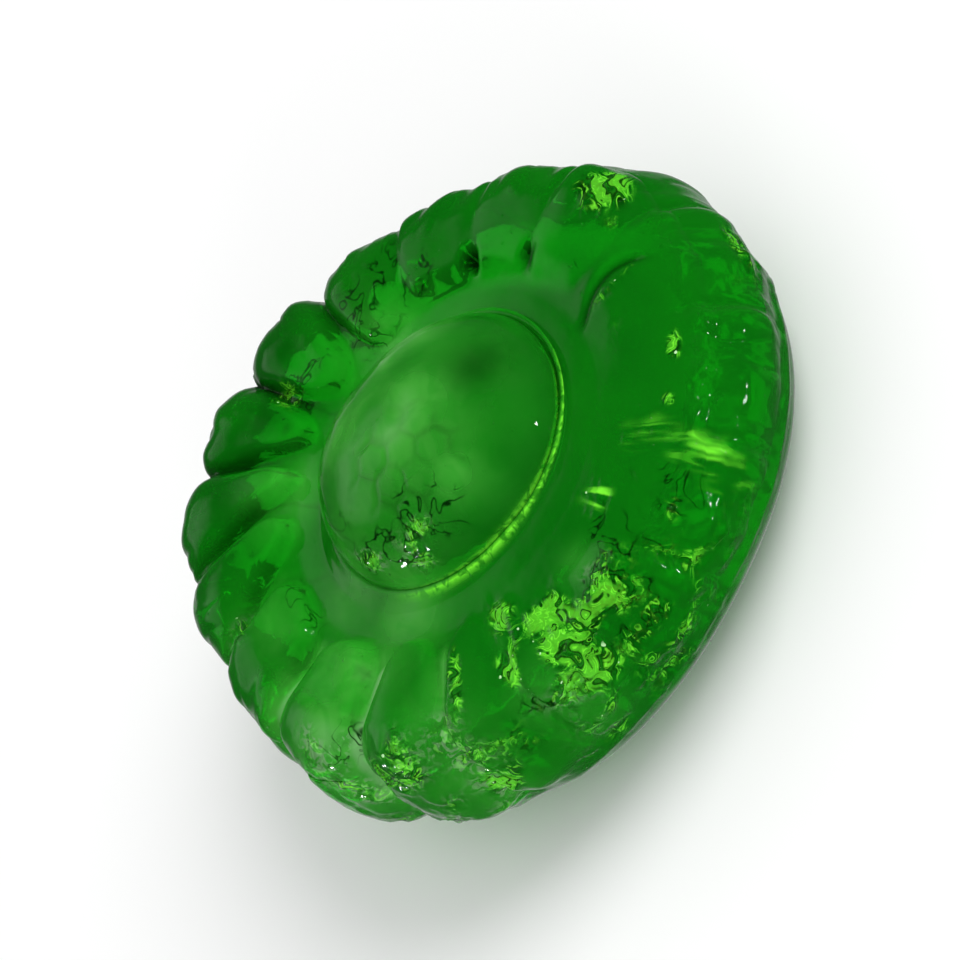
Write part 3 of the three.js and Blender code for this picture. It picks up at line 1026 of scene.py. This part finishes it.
def boiled_sugar():
    """Boiled sugar: a clear glass of set syrup, pressed in a polished mould.
    The colour lies inside it, so the eye sees dark green where the light goes far through it. Painted on that
    are a softer green where tiny bubbles cloud it, which is partly a painted haze of reflected light, painted
    shade in its pits, valleys and creases and over one side, and painted yellow-green glints, loops and
    sparkles on the lip and where it is crinkled."""
    material = bpy.data.materials.new("boiled_sugar")
    tree = empty_tree(material)
    place = node(tree, "TexCoord").outputs["Object"]
    # The patches, and where the lip's glint, the clouds' haze and the shade are painted
    crinkled, fibrous, dark_lined, lip_glint, cloud_and_haze, painted_shade = (
        node(tree, "Attribute", attribute_name=name).outputs["Fac"] for name in PATCH_NAMES
    )
    strand = node(tree, "Attribute", attribute_name="strand").outputs["Vector"]
    curls = node(tree, "TexNoise", place, Scale=1 / CURL_SIZE, Detail=1.0, Distortion=1.4)
    small_curls = node(tree, "TexNoise", place, Scale=1 / SMALL_CURL_SIZE, Detail=2.0, Distortion=1.3)
    fibres = node(tree, "TexNoise", strand, Scale=1.0, Detail=2.0, Distortion=0.3)
    dark_line_swirls = node(tree, "TexNoise", place, Scale=1 / DARK_LINE_SIZE, Detail=2.0, Distortion=0.8)
    slow_swirls = node(tree, "TexNoise", place, Scale=1 / DRIFT_SIZE, Detail=1.0)
    grains = node(tree, "TexNoise", place, Scale=1 / GRAIN_SIZE, Detail=0.0)

    # Painted yellow-green glints: in the crumpled sugar, along the fibres, and on the lip's crest and the
    # button's foot
    crease_lines = folds_of(tree, curls, CREASE_START, CREASE_WIDTH, CREASE_SHARE)
    creases = node(tree, "MapRange", crinkled, *CREASE_PATCH, 0.0, crease_lines, **SMOOTH)
    fibre_glints = only_where(tree, fibrous, FIBRE_PATCH, fibres, FIBRE_LEVELS)
    lip_glint_breaks = node(tree, "MapRange", small_curls, *LIP_FLECK_LEVELS, **SMOOTH)
    lip_glint_flecks = node(tree, "Math", lip_glint, lip_glint_breaks, operation="MULTIPLY")
    painted_glints = painted_crinkle_glints(tree, curls, small_curls, creases, crinkled)
    for other in (fibre_glints, lip_glint_flecks):
        painted_glints = node(tree, "Math", painted_glints, other, operation="MAXIMUM")

    # What is dark: painted shade in the pits, valleys, grooves and dent, beside the lip and over one side,
    # painted shade between the folds and in the creases, and the dark fine lines
    fold_shade = only_where(tree, crinkled, STROKE_PATCH, curls, STROKE_LEVELS, STROKE_SHARE)
    fine_fold_shade = only_where(tree, crinkled, STROKE_PATCH, small_curls, FINE_STROKE_LEVELS, FINE_STROKE_SHARE)
    dark_line_pattern = loops(tree, dark_line_swirls, DARK_LINE_WIDTH)
    dark_lines = node(tree, "MapRange", dark_lined, *DARK_LINE_PATCH, 0.0, dark_line_pattern, **SMOOTH)
    darkest = painted_shade
    for other in (fold_shade, fine_fold_shade, dark_lines, creases):
        darkest = node(tree, "Math", darkest, other, operation="MAXIMUM")

    # Clear green that drifts a little, clouds of tiny bubbles in it that are partly a painted haze of
    # reflected light, and a paler haze where they are densest, partly painted reflection too
    drift = node(tree, "MapRange", slow_swirls, *DRIFT_LEVELS, **SMOOTH)
    clear = node(tree, "Mix", drift, SUGAR_GREEN, SUGAR_LIGHTER, data_type="RGBA")
    cloud_curls = node(tree, "MapRange", curls, *CLOUD_CURL_LEVELS, **SMOOTH)
    uneven_cloud = node(tree, "Math", cloud_and_haze, cloud_curls, operation="MULTIPLY")
    clouded = node(tree, "Mix", uneven_cloud, clear, SUGAR_CLOUD_AND_HAZE, data_type="RGBA")
    foam_share = only_where(tree, crinkled, FOAM_PATCH, cloud_and_haze, FOAM_CLOUD, FOAM_SHARE)
    foam = node(tree, "MapRange", small_curls, *FOAM_LEVELS, 0.0, foam_share, **SMOOTH)
    dense_cloud = node(tree, "MapRange", cloud_and_haze, *DENSE_CLOUD_LEVELS, **SMOOTH)
    haze = node(tree, "Math", foam, dense_cloud, operation="MAXIMUM")
    hazy = node(tree, "Mix", haze, clouded, SUGAR_HAZE, data_type="RGBA")

    # The painted shade and the dark lines, the painted glints over that, and the painted sparkles last
    darkened = node(tree, "Mix", darkest, hazy, SUGAR_PAINTED_SHADE, data_type="RGBA")
    with_painted_glints = node(tree, "Mix", painted_glints, darkened, SUGAR_PAINTED_GLINT, data_type="RGBA")
    # Near-white painted sparkle highlights on the grain peaks, where the dimples are, in the crinkled and
    # fibrous patches
    restless = node(tree, "Math", crinkled, fibrous, operation="MAXIMUM")
    painted_sparkle = only_where(tree, restless, SPARKLE_PATCH, grains, SPARKLE_LEVELS)
    with_painted_sparkles = node(tree, "Mix", painted_sparkle, with_painted_glints, SUGAR_PAINTED_SPARKLE, data_type="RGBA")

    # Clouds let less light through, and where glints and sparkles are painted most of the light is taken
    # away, so that their painted colour shows
    through_clouds = node(tree, "Math", cloud_and_haze, -CLOUDS_TAKE, CLEARNESS, operation="MULTIPLY_ADD")
    painted_glints_and_sparkles = node(tree, "Math", painted_glints, painted_sparkle, operation="MAXIMUM")
    clearness = node(tree, "Math", painted_glints_and_sparkles, -GLOW_TAKES, through_clouds, operation="MULTIPLY_ADD")

    # The finest relief: a ripple all over, folds in the crinkled patches, and dimples
    ripple = node(tree, "TexNoise", place, Scale=1 / RIPPLE_SIZE, Detail=1.0)
    folds = node(tree, "TexNoise", place, Scale=1 / FOLD_SIZE, Detail=0.0, Distortion=1.2)
    crinkled_folds = node(tree, "Math", folds, crinkled, operation="MULTIPLY")
    rippled = node(tree, "Math", crinkled_folds, FOLD_HEIGHT, ripple, operation="MULTIPLY_ADD")
    dimples = node(tree, "MapRange", grains, *DIMPLE_LEVELS, **SMOOTH)
    relief = node(tree, "Math", rippled, dimples, operation="ADD")
    bump = node(tree, "Bump", Strength=BUMP_STRENGTH, Distance=BUMP_DEPTH, Height=relief)

    sugar = node(tree, "BsdfPrincipled", Base_Color=with_painted_sparkles, Transmission_Weight=clearness, Normal=bump,
                 Roughness=SUGAR_ROUGHNESS, IOR=SUGAR_IOR, Specular_Tint=SUGAR_GLOSS)
    depth = node(tree, "VolumeAbsorption", Color=SUGAR_DEPTH, Density=SUGAR_DENSITY)
    node(tree, "OutputMaterial", Surface=sugar, Volume=depth)
    return material


def table_white():
    """White painted board, sprayed and left matt, so that it takes a soft shadow and mirrors nothing."""
    material = bpy.data.materials.new("white_table")
    tree = empty_tree(material)
    paint = node(tree, "BsdfPrincipled", Base_Color=colour("#FAFAFA"), Roughness=0.6)
    node(tree, "OutputMaterial", Surface=paint)
    return material


# ---------------------------------------------------------------- studio

TABLE_HALF = 2.0
TABLE_GAP = 0.02 * MM


def make_table():
    mesh = bmesh.new()
    bmesh.ops.create_grid(mesh, x_segments=2, y_segments=2, size=TABLE_HALF)
    bmesh.ops.translate(mesh, verts=mesh.verts, vec=(0, 0, cad_box[0][2] - TABLE_GAP))
    table = add_object("table", mesh)
    table.data.materials.append(table_white())
    table.visible_glossy = False


def soft_box(name, direction, distance, size, watts):
    """A round soft light that shines on the candy and isn't seen through it."""
    data = bpy.data.lights.new(name, "AREA")
    data.shape = "DISK"
    data.size = size
    data.energy = watts
    light = bpy.data.objects.new(name, data)
    light.visible_transmission = False
    away = Vector(direction).normalized()
    light.location = away * distance
    light.rotation_euler = away.to_track_quat("Z", "Y").to_euler()
    bpy.context.scene.collection.objects.link(light)
    return light


def make_lights():
    """Two small lights that leave sparks in the gloss, a key light and a fill light."""
    for name, direction in (("right_spark", (0.52, -0.83, 0.10)), ("left_spark", (-0.98, 0.12, 0.12))):
        spark = soft_box(name, direction, distance=0.3, size=0.026, watts=0.25)
        spark.visible_diffuse = False
    key_light = soft_box("key", (0.97, -0.26, 1.0), distance=0.5, size=0.35, watts=1.5)
    key_light.visible_glossy = False
    key_light.visible_transmission = True
    fill_light = soft_box("fill", (-0.5, -0.8, 0.25), distance=0.5, size=0.3, watts=0.6)
    fill_light.visible_glossy = False


# The soft patches that the gloss mirrors: (direction, where the patch starts and where it is full, as
# cosines of the angle from its middle, how bright it is outside and inside)
PATCH_SIDE = math.radians(114)
PATCH_ELEVATION = math.radians(40)
HIGH_PATCH = ((
    math.cos(PATCH_SIDE) * math.cos(PATCH_ELEVATION),
    math.sin(PATCH_SIDE) * math.cos(PATCH_ELEVATION),
    math.sin(PATCH_ELEVATION),
), 0.88, 0.97, 0.07, 1.1)
FLOOR_PATCH = ((0, 0.71, -0.7), 0.7, 0.95, 0.0, 0.34)
PLAIN_STRENGTH = 0.7
THROUGH_STRENGTH = 1.0


def patch_of_light(tree, way, direction, start, full, dim, bright):
    """How bright the studio is in a direction: dim, but for a soft round patch."""
    towards = node(tree, "VectorMath", way, direction, operation="DOT_PRODUCT")
    return node(tree, "MapRange", towards, start, full, dim, bright, **SMOOTH)


def make_world():
    """A white studio all round. What the candy mirrors of it is dim, so that its colour stays dark and
    strong, but for a bright soft patch high up behind it and a faint one low behind it."""
    world = bpy.data.worlds.new("studio")
    bpy.context.scene.world = world
    tree = empty_tree(world)
    way = node(tree, "TexCoord").outputs["Generated"]
    high = patch_of_light(tree, way, *HIGH_PATCH)
    low = patch_of_light(tree, way, *FLOOR_PATCH)
    mirrored = node(tree, "Math", high, low, operation="ADD")
    rays = node(tree, "LightPath").outputs
    more = THROUGH_STRENGTH - PLAIN_STRENGTH
    plain = node(tree, "Math", rays["Is Transmission Ray"], more, PLAIN_STRENGTH, operation="MULTIPLY_ADD")
    strength = node(tree, "Mix", rays["Is Glossy Ray"], plain, mirrored, data_type="FLOAT")
    background = node(tree, "Background", Color=(1, 1, 1, 1), Strength=strength)
    node(tree, "OutputWorld", Surface=background)


CAMERA_ELEVATION = 44.6
CAMERA_DISTANCE = 0.25
CAMERA_LENS = 262.0
CAMERA_ROLL = -66.0
CAMERA_NEAREST = 0.01
AIM = Vector((0, 0, 5.2 * MM))


def make_camera():
    data = bpy.data.cameras.new("camera")
    data.lens = CAMERA_LENS
    data.clip_start = CAMERA_NEAREST
    camera = bpy.data.objects.new("camera", data)
    elevation = math.radians(CAMERA_ELEVATION)
    back = Vector((0, -math.cos(elevation), math.sin(elevation)))
    upright = back.to_track_quat("Z", "Y").to_matrix().to_4x4()
    roll = Matrix.Rotation(math.radians(CAMERA_ROLL), 4, "Z")
    camera.matrix_world = Matrix.Translation(AIM + back * CAMERA_DISTANCE) @ upright @ roll
    bpy.context.scene.collection.objects.link(camera)
    bpy.context.scene.camera = camera


def set_render_look():
    """Enough bounces for light to pass through the candy and its folds, and plain colours."""
    scene = bpy.context.scene
    scene.view_settings.view_transform = "Standard"
    scene.cycles.max_bounces = 9
    scene.cycles.transmission_bounces = 8
    scene.cycles.diffuse_bounces = 3
    scene.cycles.glossy_bounces = 4
    scene.cycles.sample_clamp_indirect = 4.0
    scene.cycles.use_denoising = True


candy = make_candy()
candy.data.materials.append(boiled_sugar())
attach(candy, "root")
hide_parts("candy")

make_table()
make_world()
make_lights()
make_camera()
set_render_look()
